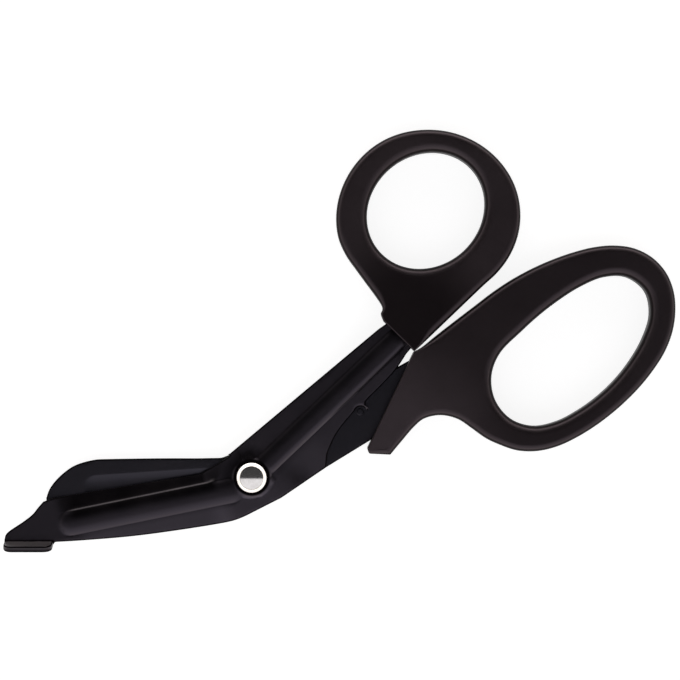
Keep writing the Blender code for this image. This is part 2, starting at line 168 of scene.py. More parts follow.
# A plan outline extruded to a plate
def plateFrom(name, outline, bottom, top):
    places = [(point.x + pivot.x, point.y + pivot.y, bottom) for point in outline]
    plate = circleFrom(name, places, "NGON")
    setMode("EDIT")
    selectMesh()
    bpy.ops.mesh.extrude_region_move(TRANSFORM_OT_translate={"value": (0, 0, top - bottom)})
    selectMesh()
    bpy.ops.mesh.normals_make_consistent(inside=False)
    setMode("OBJECT")
    return plate


# Whether an edge runs round the top or bottom face of a plate
def onRim(edge):
    first, last = edge.verts
    corner = len(edge.link_faces) == 2 and edge.calc_face_angle() > math.radians(sheetSteel["rimAngle"])
    return abs(first.co.z - last.co.z) < 1e-6 and corner


def roundRims(piece, width, segments):
    makeActive(piece)
    setMode("EDIT")
    selectEdges(piece, onRim)
    bpy.ops.mesh.bevel(offset=width, segments=segments, profile=0.5, affect="EDGES")
    setMode("OBJECT")


# Cuts straight lines across the faces that aren't hidden
def cutLines(normal, places):
    for place in places:
        spot = pivot.to_2d() + normal * place
        selectMesh()
        bpy.ops.mesh.bisect(plane_co=(*spot, 0), plane_no=(*normal, 0))


def spread(start, end, pitch):
    count = max(1, round((end - start) / pitch))
    return [start + (end - start) * index / count for index in range(count + 1)]


def spreads(spans):
    return [place for span in spans for place in spread(*span)]


# Lays working lines along and across both straights of a bent sheet, which meet at the rivet
def layLines(piece, form, bladeLines, tangLines):
    makeActive(piece)
    setMode("EDIT")
    bpy.ops.mesh.select_mode(type="FACE")
    selectMesh()
    mitreNormal = turned((form["bladeAngle"] + form["tangAngle"]) / 2, 1, 0)
    bpy.ops.mesh.bisect(plane_co=(pivot.x, pivot.y, 0), plane_no=(*mitreNormal, 0))
    straights = (-1, form["bladeAngle"], bladeLines), (1, form["tangAngle"], tangLines)
    for side, angle, (rows, columns) in straights:
        selectMesh("DESELECT")
        shape = bmesh.from_edit_mesh(piece.data)
        for face in shape.faces:
            offset = (face.calc_center_median() - pivot).to_2d()
            face.select = offset.dot(mitreNormal) * side < 0
        bmesh.update_edit_mesh(piece.data)
        bpy.ops.mesh.hide(unselected=False)
        cutLines(turned(angle, 0, 1), rows)
        cutLines(turned(angle, side, 0), columns)
        bpy.ops.mesh.reveal(select=False)
    setMode("OBJECT")


# Distance from a point to a straight stretch of an axis
def axisDistance(along, across, start, end, offset):
    beyond = max(start - along, 0, along - end)
    return math.hypot(beyond, across - offset)


def crown(distance, halfWidth, height, fullness=2.0):
    raised = height * (1 - (distance / halfWidth) ** fullness)
    soft = height * sheetSteel["ribSoftness"]
    return (raised + math.sqrt(raised * raised + soft * soft)) / 2


def smoothStep(value, low, high):
    t = min(max((value - low) / (high - low), 0), 1)
    return t * t * (3 - 2 * t)


# Rises over the first two places and falls over the last two
def window(value, first, full, last, end):
    return smoothStep(value, first, full) * (1 - smoothStep(value, last, end))


# A flat-topped rise with rounded shoulders
def plateau(distance, halfWidth, flank, height):
    t = min(max((halfWidth - distance) / flank, 0), 1)
    return height * (1 - (1 - t) ** 2.2)


def hump(distance, width):
    return math.exp(-(distance / width) ** 2)


def softMax(first, second, blend):
    gap = max(blend - abs(first - second), 0) / blend
    return max(first, second) + gap * gap * blend / 4


# The raised pad round the rivet
def rivetPad(place):
    away = smoothStep(place.length, sheetSteel["padInner"], sheetSteel["padOuter"])
    return sheetSteel["padHeight"] * (1 - away)


# What the margin beside a rib loses: a fine groove at the rib's foot and a fall beyond it
def marginLoss(past, along, fall, span, outside):
    width = sheetSteel["grooveWidth"]
    foot = sheetSteel["grooveDepth"] * hump(past + width * sheetSteel["grooveOverlap"], width)
    return foot * outside + fall * max(past, 0) * window(along, *span)


# A plan place along and across a bent sheet's blade, and turned along its tang
def bentPlace(place, form):
    blade = turned(-form["bladeAngle"], place.x, place.y)
    return -blade.x, blade.y, turned(-form["tangAngle"], place.x, place.y)


# Presses a flat plate: every point moves between the two new surfaces
def pressPlate(piece, bottom, top, surfaces):
    for vertex in piece.data.vertices:
        place = (vertex.co - pivot).to_2d()
        share = (vertex.co.z - bottom) / (top - bottom)
        low, high = surfaces(place)
        vertex.co.z = low + (high - low) * share


# Marks a plate's side walls and the outer part of its rounded rims with painted shade: the coat's shine is
# taken away there, so they stay dark
def markRims(piece, bottom, top):
    form = sheetSteel
    shade = piece.data.attributes.new("shade", "FLOAT", "POINT")
    low, high = (share * form["edgeRounding"] for share in form["rimSpan"])
    for index, vertex in enumerate(piece.data.vertices):
        depth = min(top - vertex.co.z, vertex.co.z - bottom)
        shade.data[index].value = form["rimShade"] * smoothStep(depth, low, high)
    return shade


def applyAll(piece):
    makeActive(piece)
    for modifier in list(piece.modifiers):
        bpy.ops.object.modifier_apply(modifier=modifier.name)


# A closed plate with rounded rims and working lines along both straights
def bladeSheet(name, outline, form, rows, tangRows, bottom, top):
    blade = plateFrom(name, outline, bottom, top)
    roundRims(blade, sheetSteel["edgeRounding"], sheetSteel["edgeSegments"])
    layLines(blade, form, (rows, spreads(form["bladeSpans"])), (tangRows, spreads(form["tangSpans"])))
    return blade


def drillForRivet(piece):
    deselectAll()
    bpy.ops.mesh.primitive_cylinder_add(
        vertices=48, radius=sheetSteel["shankHole"], depth=0.02, location=(pivot.x, pivot.y, parting))
    drill = bpy.context.object
    makeActive(piece)
    cut = piece.modifiers.new("Drilled", "BOOLEAN")
    cut.operation = "DIFFERENCE"
    cut.solver = "EXACT"
    cut.object = drill
    applyAll(piece)
    bpy.data.objects.remove(drill, do_unlink=True)


# Smooth shading in which the broad faces stay flat beside their rounded rims
def shadeSoft(piece, angle):
    makeActive(piece)
    bpy.ops.object.shade_smooth_by_angle(angle=math.radians(angle))
    flats = piece.modifiers.new("Flats", "WEIGHTED_NORMAL")
    flats.weight = 90
    flats.keep_sharp = True
    applyAll(piece)


# Front blade
frontBladeShape = {
    "bladeAngle": 11.5,
    "tangAngle": 43.6,
    "spine": (
        (0.0465, -0.0072), (0.0340, -0.0087), (0.0215, -0.0096), (0.0086, -0.0101), (0.0037, -0.0095)),
    "edge": ((0.0052, 0.0063), (0.0131, 0.0034), (0.0515, 0.0050)),
    "nose": ((0.0541, 0.0046), (0.0558, 0.0033), (0.0575, 0.0019), (0.0603, 0.0005), (0.0648, -0.0014)),
    "tangTop": ((0.0500, 0.0052), (-0.0003, 0.0084)),
    "belly": ((0.0019, -0.0091), (0.0157, -0.0114)),
    "scallop": (
        (0.0183, -0.0091), (0.0205, -0.0081), (0.0231, -0.0071), (0.0265, -0.0064), (0.0303, -0.0060)),
    "waist": ((0.0360, -0.0060), (0.0412, -0.0059), (0.0463, -0.0055), (0.0510, -0.0044)),
    "insert": ((0.0635, -0.0032), (0.0635, 0.0032)),
    "notchCentre": (0.0319, -0.00745),
    "notchRadius": 0.00175,
    "notchSweep": (116.0, -24.0),
    "notchRim": 0.00070,
    "notchFall": 0.00042,
    "hook": ((0.0339, -0.0080), (0.0342, -0.0073), (0.0342, -0.0066), (0.0348, -0.0061)),
    "footLeft": -0.06398,
    "footLength": 0.0126,
    "footCorner": 0.0022,
    "tabShoulders": ((0, -0.0010), (0, -0.0016), (0, -0.0008), (0.0006, -0.0005)),
    "tabReach": 0.0003,
    "footLean": 14.4,
    "footSlack": 0.00032,
    "footLine": -0.01620,
    "footBend": 0.0004,
    "tabPaintedHighlight": 0.42,
    "tabFlatShade": 0.35,
    "tabShade": 0.9,
    "tabLines": (0.0, 0.00025, 0.0005, 0.00075, 0.0010, 0.0013),
    "creaseShade": (0.00005, 0.0012),
    "ribSpan": (0.0060, 0.0483),
    "ribOffset": -0.00240,
    "ribHalfWidth": 0.0031,
    "ribUpperShare": 0.886,
    "ribFullness": 2.9,
    "ribHeight": 0.00084,
    "grooveStart": 0.0030,
    "tangRibSpan": (0.0056, 0.0515),
    "tangRibHalfWidth": 0.0030,
    "tangRibFlanks": (0.0019, 0.0030),
    "marginFall": 0.120,
    "marginSpan": (0.0050, 0.0110, 0.0430, 0.0490),
    "tangMarginFall": 0.095,
    "tangMarginSpan": (0.0060, 0.0120, 0.0440, 0.0500),
    "troughStart": 0.0125,
    "grindLine": 0.00100,
    "grindRunOut": (0.0052, 0.0125),
    "grindCurl": (0.0046, 2.6),
    "grindStart": (0.0052, 0.0135),
    "grindTangLimit": 0.004,
    "grindEnd": (0.0455, 0.0520),
    "lipHeight": 0.00009,
    "lipWidth": 0.00016,
    "bevelShade": 0.85,
    "bevelStart": 0.00012,
    "flankShade": 0.92,
    "flankSpan": (-0.0036, -0.0008),
    "tangShade": 0.6,
    "tangShadeSpan": (0.0006, 0.0022, 0.0027, 0.0032),
    "padShade": 0.6,
    "padShadeAngle": 125.0,
    "padShadeTurn": (0.17, 0.57),
    "padShadeReach": (0.0062, 0.0090),
    "heelShine": 0.95,
    "marginShine": 0.24,
    "tangShine": 0.28,
    "shineBlend": 0.0006,
    "shineStart": (0.0042, 0.0060),
    "shineHeel": (0.0060, 0.0140),
    "shineToe": (0.0440, 0.0500),
    "shineTang": (-0.0010, 0.0080),
    "shineTangEnd": (0.0150, 0.0220),
    "lipSpan": (0.0085, 0.0105, 0.0462, 0.0492),
    "edgeThickness": 0.00055,
    # working lines: rib lines as shares of a half width, spans as start, end and pitch
    "ribLines": (-1.12, -1.04, -0.97, -0.86, -0.7, -0.5, -0.25, 0, 0.25, 0.5, 0.7, 0.86),
    "grindLines": (-0.00030, -0.00020, -0.00010, 0, 0.00010, 0.00020, 0.00030),
    "bevelLines": (0.0019, 0.0026, 0.0034, 0.0044),
    "footLines": (-0.00020, -0.00012, -0.00004, 0.00004, 0.00012, 0.00020),
    "marginLines": (0.0012, 0.0024),
    "bladeSpans": (
        (0.0004, 0.0086, 0.00045), (0.0094, 0.0442, 0.0011),
        (0.0450, 0.0536, 0.00045), (0.0550, 0.0660, 0.0011)),
    "tangRibLines": (-1.03, -0.97, -0.90, -0.82, -0.73, -0.64, -0.54, -0.42, -0.2, 0),
    "tangLines": (0.0050, 0.0062, -0.0048),
    "tangMarginLines": (0.0052, 0.0092, 0.0004),
    "tangSpans": (
        (0.0004, 0.0086, 0.00045), (0.0098, 0.0280, 0.0014),
        (0.0290, 0.0354, 0.00032), (0.0370, 0.0620, 0.0014)),
}
frontInner = parting + sheetSteel["gap"] / 2
frontOuter = frontInner + sheetSteel["thickness"]


def frontOutline():
    form = frontBladeShape
    left, line, corner = form["footLeft"], form["footLine"], form["footCorner"]
    right = left + form["footLength"]
    lean = math.radians(form["footLean"])
    bend, hub = form["footBend"], form["footBend"] + sheetSteel["thickness"]
    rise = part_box("front_blade")[1].z - frontOuter - bend
    flap = (bend + sheetSteel["thickness"] / 2) * (math.pi / 2 - lean)
    flap += (rise + hub * math.sin(lean)) / math.cos(lean) - form["footSlack"]
    bottom = line - flap + corner
    start, *steps = [Vector((x, line + y)) for x, y in form["tabShoulders"]]
    tab = [start + Vector((left, 0)), *arc((left + corner, bottom), corner, 180, 270, 15)]
    tab += arc((right - corner, bottom), corner, 270, 360, 15)
    tab += [step + Vector((right, 0)) for step in steps]
    spine = smoothLine([tab[-1], *onBlade(form, "spine")])[1:]
    notch = arc(form["notchCentre"], form["notchRadius"], *form["notchSweep"], 9)
    notch = [turned(form["tangAngle"], *point) for point in notch]
    top, edge = onTang(form, "tangTop"), onBlade(form, "edge")
    nose = smoothLine([*onBlade(form, "nose"), Vector((left, line))])
    outline = [*tab, *spine, *onTang(form, "belly"), *smoothLine(onTang(form, "scallop")), *notch]
    outline += [*onTang(form, "hook"), *smoothLine(onTang(form, "waist")), *onTang(form, "insert"), top[0]]
    outline += [*smoothLine([top[1], edge[0], edge[1]], 3)[:-1], *edge[1:], *nose]
    return thinned(outline, sheetSteel["spacing"])


# The ground bevel's inner line, which curls up to the shoulder where the wheel left the blade
def frontGrindLine(along):
    form = frontBladeShape
    low, high = form["grindRunOut"]
    left = min(max((high - along) / (high - low), 0), 1)
    rise, power = form["grindCurl"]
    return form["grindLine"] + rise * left ** power


# The cutting edge's place across the blade, and the shoulder's before it
def frontEdge(along):
    corner, start, end = frontBladeShape["edge"]
    first, last = (corner, start) if along < start[0] else (start, end)
    share = (along - first[0]) / (last[0] - first[0])
    return first[1] + (last[1] - first[1]) * min(share, 1.2)


# Where the ground bevel's bright lip runs
def lipShare(along):
    return window(along, *frontBladeShape["lipSpan"])


def frontSurfaces(place):
    form = frontBladeShape
    along, across, tang = bentPlace(place, form)
    offset, half, halfTang = form["ribOffset"], form["ribHalfWidth"], form["tangRibHalfWidth"]
    height, blend = sheetSteel["ribHeight"], sheetSteel["blend"]
    aside = (across - offset) * (form["ribUpperShare"] if across > offset else 1)
    away = axisDistance(along, aside, *form["ribSpan"], 0)
    rib = crown(away, half, form["ribHeight"], form["ribFullness"])
    tangAway = axisDistance(*tang, *form["tangRibSpan"], 0)
    tangRib = plateau(tangAway, halfTang, form["tangRibFlanks"][0 if tang.y < 0 else 1], height)
    pad = rivetPad(place)
    level = softMax(softMax(0, 0, blend), 0, blend)
    high = frontOuter + max(softMax(softMax(rib, tangRib, blend), pad, blend) - level, 0)
    trough = crown(axisDistance(along, across, form["troughStart"], form["ribSpan"][1], offset), half, height)
    tangTrough = crown(axisDistance(*tang, form["troughStart"], form["tangRibSpan"][1], 0), halfTang, height)
    low = frontInner + max(trough, tangTrough)
    outside = smoothStep(place.length, sheetSteel["padOuter"], sheetSteel["padOuter"] + form["grooveStart"])
    if across < offset and along > 0:
        high -= marginLoss(away - half, along, form["marginFall"], form["marginSpan"], outside)
    if tang.y < 0 and tang.x > 0:
        past = tangAway - halfTang
        high -= marginLoss(past, tang.x, form["tangMarginFall"], form["tangMarginSpan"], outside)
    notchAway = (tang - Vector(form["notchCentre"])).length - form["notchRadius"]
    if notchAway < form["notchRim"]:
        high -= form["notchFall"] * (1 - max(notchAway, 0) / form["notchRim"]) ** 2
    if along > form["grindRunOut"][0] and tang.x < form["grindTangLimit"]:
        edge = frontEdge(along)
        past = across - frontGrindLine(along)
        removed = sheetSteel["thickness"] - form["edgeThickness"]
        fade = 1 - smoothStep(along, *form["grindEnd"])
        share = smoothStep(along, *form["grindStart"])
        ground = past * removed / (form["edge"][1][1] - form["grindLine"]) * share
        if edge > across - past:
            ground = min(ground, removed * past / (edge - across + past))
        if past > 0:
            high = min(high, frontOuter + pad) - max(ground, 0) * fade
            low = min(low, high - form["edgeThickness"])
        high += form["lipHeight"] * hump(past, form["lipWidth"]) * lipShare(along)
    return low, high


# Turns the toe's tab up round a small bend
def bendFoot(piece):
    form = frontBladeShape
    sheet = sheetSteel["thickness"]
    limit = math.pi / 2 - math.radians(form["footLean"])
    middle = form["footBend"] + sheet / 2
    centre = frontOuter + form["footBend"]
    for vertex in piece.data.vertices:
        place = vertex.co - pivot
        past = form["footLine"] - place.y
        if past <= 0 or place.x > form["footLeft"] + form["footLength"] + form["tabReach"]:
            continue
        reach = centre - vertex.co.z
        angle = min(past / middle, limit)
        straight = max(past - middle * limit, 0)
        place.y = form["footLine"] - reach * math.sin(angle) - straight * math.cos(limit)
        vertex.co.y = place.y + pivot.y
        vertex.co.z = centre - reach * math.cos(angle) + straight * math.sin(limit)


# Lines across the toe's tab, where it bends
def layTabLines(blade, form):
    makeActive(blade)
    setMode("EDIT")
    bpy.ops.mesh.select_mode(type="FACE")
    limit = pivot.x + form["footLeft"] + form["footLength"] + 0.002
    for place in form["tabLines"]:
        shape = bmesh.from_edit_mesh(blade.data)
        for face in shape.faces:
            face.select = face.calc_center_median().x < limit
        bmesh.update_edit_mesh(blade.data)
        bpy.ops.mesh.bisect(plane_co=(0, pivot.y + form["footLine"] - place, 0), plane_no=(0, 1, 0))
    setMode("OBJECT")


# Painted sheen: how much shinier the coat is made below the ribs, most of all at the heel
def paintedMarginSheen(place, form):
    along, across, tang = bentPlace(place, form)
    lift, heel = 0, form["heelShine"]
    if turned(-(form["bladeAngle"] + form["tangAngle"]) / 2, *place).x > 0:
        away = axisDistance(*tang, *form["tangRibSpan"], 0) - form["tangRibHalfWidth"]
        if tang.y < 0:
            lift = heel + (form["tangShine"] - heel) * smoothStep(tang.x, *form["shineTang"])
            lift *= 1 - smoothStep(tang.x, *form["shineTangEnd"])
    else:
        away = axisDistance(along, across, *form["ribSpan"], form["ribOffset"]) - form["ribHalfWidth"]
        if across < form["ribOffset"]:
            lift = heel + (form["marginShine"] - heel) * smoothStep(along, *form["shineHeel"])
            lift *= 1 - smoothStep(along, *form["shineToe"])
    return lift * smoothStep(away, 0, form["shineBlend"]) * smoothStep(place.length, *form["shineStart"])


# Marks where the black coat is worn to bare steel on the ground bevel's lip, partly real wear and partly a
# painted highlight,
# and paints the flats of the toe's tab bare as a painted highlight. Also marks painted shade, where the shine
# is taken away:
# on the bevel and the flank before it, the tang's upper flank, the rivet's upper left, the tab's crease and
# all rims. A negative mark is a painted sheen.
def markWearAndPaintedShade(blade, form):
    shade = markRims(blade, frontInner, frontOuter)
    wearAndHighlight = blade.data.attributes.new("wearAndHighlight", "FLOAT", "POINT")
    rounding, hair = sheetSteel["edgeRounding"], 0.00001
    levels = (frontInner + rounding, frontOuter - rounding, frontOuter)
    near, far = form["creaseShade"]
    for index, vertex in enumerate(blade.data.vertices):
        place = (vertex.co - pivot).to_2d()
        along, across, tang = bentPlace(place, form)
        past = across - frontGrindLine(along)
        # Bare steel on the ground bevel's lip: partly real wear, partly a painted highlight
        upper = vertex.co.z > frontOuter - hair and along > 0
        worn = hump(past, form["lipWidth"]) * lipShare(along) if upper else 0
        dark = shade.data[index].value
        if along > form["grindRunOut"][1] and past > form["bevelStart"]:
            dark = max(dark, form["bevelShade"] * (1 - smoothStep(along, *form["grindEnd"])))
        if along > 0 and past < -form["lipWidth"]:
            dark = max(dark, form["flankShade"] * smoothStep(past, *form["flankSpan"]) * lipShare(along))
        if tang.x > sheetSteel["padOuter"]:
            dark = max(dark, form["tangShade"] * window(tang.y, *form["tangShadeSpan"]))
        toward = turned(-form["padShadeAngle"], *place).x / max(place.length, 0.001)
        around = smoothStep(toward, *form["padShadeTurn"])
        around *= 1 - smoothStep(place.length, *form["padShadeReach"])
        dark = max(dark, form["padShade"] * around)
        # The toe's tab: a painted highlight on its flats, painted shade on its crease, rims and lower edge
        down = form["footLine"] - place.y
        if place.x < form["footLeft"] + form["footLength"] + form["tabReach"] and down > -0.0001:
            flat = any(abs(vertex.co.z - level) < hair for level in levels)
            low = vertex.co.z < levels[0] + hair
            worn = form["tabPaintedHighlight"] if flat and down > far and not low else 0
            dark = 1 if near < down < far or not flat else form["tabFlatShade"]
            dark = max(dark, form["tabShade"]) if low else dark
        wearAndHighlight.data[index].value = worn
        # Where no shade is marked, a negative mark gives the painted sheen below the ribs
        shade.data[index].value = dark if dark >= 0.01 else -paintedMarginSheen(place, form)


def makeFrontBlade():
    form = frontBladeShape
    rib, half, halfTang = form["ribOffset"], form["ribHalfWidth"], form["tangRibHalfWidth"]
    rows = [rib + half * share for share in form["ribLines"]]
    rows += [form["grindLine"] + reach for reach in form["grindLines"]] + [*form["bevelLines"]]
    rows += [rib - half - reach for reach in form["footLines"] + form["marginLines"]]
    tangRows = [halfTang * share for share in form["tangRibLines"]]
    tangRows += [-place for place in tangRows[:-1]] + [*form["tangLines"]]
    tangRows += [-halfTang - reach for reach in form["footLines"]]
    tangRows += [-place for place in spread(*form["tangMarginLines"])]
    blade = bladeSheet("frontBlade", frontOutline(), form, rows, tangRows, frontInner, frontOuter)
    layTabLines(blade, form)
    markWearAndPaintedShade(blade, form)
    pressPlate(blade, frontInner, frontOuter, frontSurfaces)
    bendFoot(blade)
    drillForRivet(blade)
    shadeSoft(blade, sheetSteel["smoothAngle"])
    return blade


frontBlade = makeFrontBlade()
print("front blade made", len(frontBlade.data.polygons))


# Back blade
backBladeShape = {
    "bladeAngle": 3.8,
    "tangAngle": 31.5,
    "tip": ((0.0536, -0.0020), (0.0528, 0.0000), (0.0513, 0.0020), (0.0488, 0.0042), (0.0455, 0.0061)),
    "spine": ((0.0410, 0.0071), (0.0370, 0.0071), (0.0235, 0.0064), (0.0105, 0.0056)),
    "edge": ((0.0130, -0.0036), (0.0505, -0.0050)),
    "edgeRound": ((0.0525, -0.0044), (0.0535, -0.0032)),
    "heel": ((0.0020, -0.0086), (0.0060, -0.0062), (0.0095, -0.0043)),
    "tangTop": ((-0.0022, 0.0080), (0.0100, 0.0074), (0.0250, 0.0060), (0.0400, 0.0050), (0.0500, 0.0045)),
    "tangBottom": ((0.0040, -0.0079), (0.0360, -0.0079)),
    "insert": ((0.0635, 0.0032), (0.0635, -0.0064)),
    "ribSpan": (0.0060, 0.0403),
    "ribOffset": -0.0001,
    "ribHalfWidth": 0.0031,
    "troughStart": 0.0125,
    "troughWider": 0.0002,
    "troughDepth": 0.00044,
    "grindLine": -0.0032,
    "grindSpan": (0.0110, 0.0130, 0.0495, 0.0525),
    "edgeThickness": 0.0003,
    "ribLines": (
        -1.12, -1.04, -0.97, -0.86, -0.7, -0.5, -0.25, 0, 0.25, 0.5, 0.6, 0.66, 0.72, 0.78, 0.84, 0.9,
        0.95, 1, 1.04, 1.12),
    "marginLines": (-0.0039, -0.0045, 0.0045, 0.0056),
    "bladeSpans": (
        (0.0004, 0.0072, 0.00045), (0.0082, 0.0360, 0.0011),
        (0.0368, 0.0450, 0.00045), (0.0460, 0.0540, 0.0011)),
    "tangLines": (-0.0060, -0.0040, -0.0020, 0, 0.0020, 0.0040),
    "tangSpans": ((0.0004, 0.0072, 0.00045), (0.0090, 0.0600, 0.0030)),
    "lugPlace": (0.0280, 0.0169),
    "lugRadius": 0.0009,
    "lugHeight": 0.0003,
    "lugRounding": 0.00025,
}
backInner = parting - sheetSteel["gap"] / 2
backOuter = backInner - sheetSteel["thickness"]


def backOutline():
    form = backBladeShape
    spine, edge, bottom = onBlade(form, "tip", "spine"), onBlade(form, "edge"), onTang(form, "tangBottom")
    upper = smoothLine([*spine, *onTang(form, "tangTop")])
    heel = smoothLine([bottom[0], *onBlade(form, "heel"), edge[0]])
    toe = smoothLine([edge[1], *onBlade(form, "edgeRound"), spine[0]])
    clockwise = [*upper, *onTang(form, "insert"), bottom[1], *heel, *toe[:-1]]
    return thinned(clockwise[::-1], sheetSteel["spacing"])


def backSurfaces(place):
    form = backBladeShape
    along, across, _ = bentPlace(place, form)
    offset, half, blend = form["ribOffset"], form["ribHalfWidth"], sheetSteel["blend"]
    rib = crown(axisDistance(along, across, *form["ribSpan"], offset), half, sheetSteel["ribHeight"])
    troughAway = axisDistance(along, across, form["troughStart"], form["ribSpan"][1], offset)
    low = backOuter - max(softMax(rib, rivetPad(place), blend) - softMax(0, 0, blend), 0)
    high = backInner - crown(troughAway, half + form["troughWider"], form["troughDepth"])
    start, last = form["edge"]
    reach = min(max((along - start[0]) / (last[0] - start[0]), 0), 1.1)
    edge = start[1] + (last[1] - start[1]) * reach
    if across < form["grindLine"]:
        share = min((across - form["grindLine"]) / (edge - form["grindLine"]), 1)
        low += (sheetSteel["thickness"] - form["edgeThickness"]) * share * window(along, *form["grindSpan"])
    return min(low, high - form["edgeThickness"]), high


# The lug that locks into the front tang's notch when the shears close
def makeLug():
    form = backBladeShape
    spot = Vector(form["lugPlace"]) + pivot.to_2d()
    low = backInner - sheetSteel["thickness"] / 2
    high = backInner + form["lugHeight"]
    deselectAll()
    bpy.ops.mesh.primitive_cylinder_add(
        vertices=40, radius=form["lugRadius"], depth=high - low, location=(spot.x, spot.y, (high + low) / 2))
    lug = bpy.context.object
    lug.name = lug.data.name = "lockLug"
    bpy.ops.object.transform_apply(location=True)
    roundRims(lug, form["lugRounding"], 4)
    shadeSoft(lug, sheetSteel["smoothAngle"])
    return lug


def makeBackBlade():
    form = backBladeShape
    rows = [form["ribOffset"] + form["ribHalfWidth"] * share for share in form["ribLines"]]
    rows += form["marginLines"]
    blade = bladeSheet("backBlade", backOutline(), form, rows, form["tangLines"], backOuter, backInner)
    markRims(blade, backOuter, backInner)
    pressPlate(blade, backOuter, backInner, backSurfaces)
    drillForRivet(blade)
    shadeSoft(blade, sheetSteel["smoothAngle"])
    return blade


backBlade = makeBackBlade()
lockLug = makeLug()
print("back blade made", len(backBlade.data.polygons), len(lockLug.data.polygons))

# Both handles are moulded plastic
moulding = {
    "thickness": 0.0080,
    "outerRounding": (0.0018, 0.0017),
    "openingRounding": (0.0023, 0.0021),
    "roundingSteps": 9,
    "collarShare": 0.20,
    "collarReach": (0.0004, 0.0075),
    "cornerRadius": 0.0004,
    "cornerTurn": 24.0,
    "cornerShare": 0.45,
    "cornerSteps": 6,
    "outlineSteps": 6,
    "spacing": 0.0002,
    "smoothAngle": 40.0,
}


# Rounds the sharp corners of a closed plan outline
def softCorners(line):
    soft = []
    for index, point in enumerate(line):
        before = line[index - 1]
        after = line[(index + 1) % len(line)]
        arriving, leaving = point - before, after - point
        if arriving.angle(leaving) < math.radians(moulding["cornerTurn"]):
            soft.append(point)
            continue
        reach = min(arriving.length, leaving.length) * moulding["cornerShare"]
        reach = min(moulding["cornerRadius"], reach)
        first = point - arriving.normalized() * reach
        last = point + leaving.normalized() * reach
        for step in range(moulding["cornerSteps"] + 1):
            share = step / moulding["cornerSteps"]
            soft.append(first * (1 - share) ** 2 + point * 2 * share * (1 - share) + last * share ** 2)
    return soft


# How far a plan point is from the straight collar where the tang goes in
def collarDistance(point, start, end):
    heading = end - start
    share = min(max((point - start).dot(heading) / heading.length_squared, 0), 1)
    return (point - start - heading * share).length


# A grid primitive wrapped round an outline: a wall with rounded rims above and below.
# The rounding is full at the rings and small at the collar. Side 1 is an outline, -1 an opening.
# Each place comes with how far its rounding has turned, from 0 on the top face to 2 on the wall
# and 4 on the bottom face.
def wrapRim(line, side, collar):
    form = moulding
    steps = form["roundingSteps"]
    roundingInset, roundingDrop = form["outerRounding"] if side > 0 else form["openingRounding"]
    walls = []
    for index, point in enumerate(line):
        arriving = (point - line[index - 1]).normalized()
        leaving = (line[(index + 1) % len(line)] - point).normalized()
        inward = Vector((-arriving.y - leaving.y, arriving.x + leaving.x)) / (1 + arriving.dot(leaving))
        share = form["collarShare"]
        share += (1 - share) * smoothStep(collarDistance(point, *collar), *form["collarReach"])
        walls.append((point, inward * side, share))
    walls.append(walls[0])
    profile = []
    for index in range(steps + 1):
        angle = math.radians(90 * index / steps)
        profile.append((1 - math.cos(angle), 1 - math.sin(angle), 2 - 2 * index / steps))
    rows = [(inset, drop, 4 - turn, False) for inset, drop, turn in profile[::-1]]
    rows += [(*place, True) for place in profile]
    bpy.ops.mesh.primitive_grid_add(x_subdivisions=len(line), y_subdivisions=len(rows) - 1, size=0.01)
    places = []
    for inset, drop, turn, upper in rows:
        for point, inward, share in walls:
            spot = point + inward * roundingInset * inset * share + pivot.to_2d()
            fall = roundingDrop * drop * share
            places.append(((spot.x, spot.y, form["thickness"] - fall if upper else fall), turn))
    return places


# A ring-shaped moulding: one wrapped rim outside, one round the opening, and two flat faces between them
def mouldRing(name, outline, opening, collar):
    deselectAll()
    places = wrapRim(softCorners(outline), 1, collar)
    ring = bpy.context.object
    ring.name = ring.data.name = name
    setMode("EDIT")
    places += wrapRim(opening, -1, collar)
    setMode("OBJECT")
    rim = ring.data.attributes.new("rim", "FLOAT", "POINT")
    for index, (place, turn) in enumerate(places):
        ring.data.vertices[index].co = place
        rim.data[index].value = turn
    bpy.ops.object.transform_apply(location=True)
    setMode("EDIT")
    selectMesh()
    bpy.ops.mesh.remove_doubles(threshold=0.000002)
    for level in (0, moulding["thickness"]):
        selectEdges(ring, lambda edge: edge.is_boundary and all(
            abs(vert.co.z - level) < 1e-5 for vert in edge.verts))
        bpy.ops.mesh.fill(use_beauty=True)
    selectMesh()
    bpy.ops.mesh.normals_make_consistent(inside=False)
    setMode("OBJECT")
    shadeSoft(ring, moulding["smoothAngle"])
    return ring


thumbHandleShape = {
    "ringCentre": (0.0457, 0.0661),
    "ringStart": -50.0,
    "ringStep": 12.0,
    "ringRadii": (
        0.02176, 0.02204, 0.02257, 0.02311, 0.02358, 0.02391, 0.02409, 0.02409, 0.02402, 0.02391,
        0.02381, 0.02375, 0.02375, 0.02387, 0.02400, 0.02405, 0.02405, 0.02404, 0.02402, 0.02394,
        0.02369, 0.02304, 0.02246, 0.02277),
    "holeCentre": (0.0450, 0.06898),
    "holeLength": 0.0320,
    "holeWidth": 0.02856,
    "holeAngle": 42.0,
    "neckLeft": ((0.0319, 0.0470), (0.0335, 0.0446), (0.0338, 0.0434), (0.0334, 0.0422), (0.0341, 0.0403)),
    "neckRight": ((0.04195, 0.03262), (0.0444, 0.0348), (0.05222, 0.04228)),
}


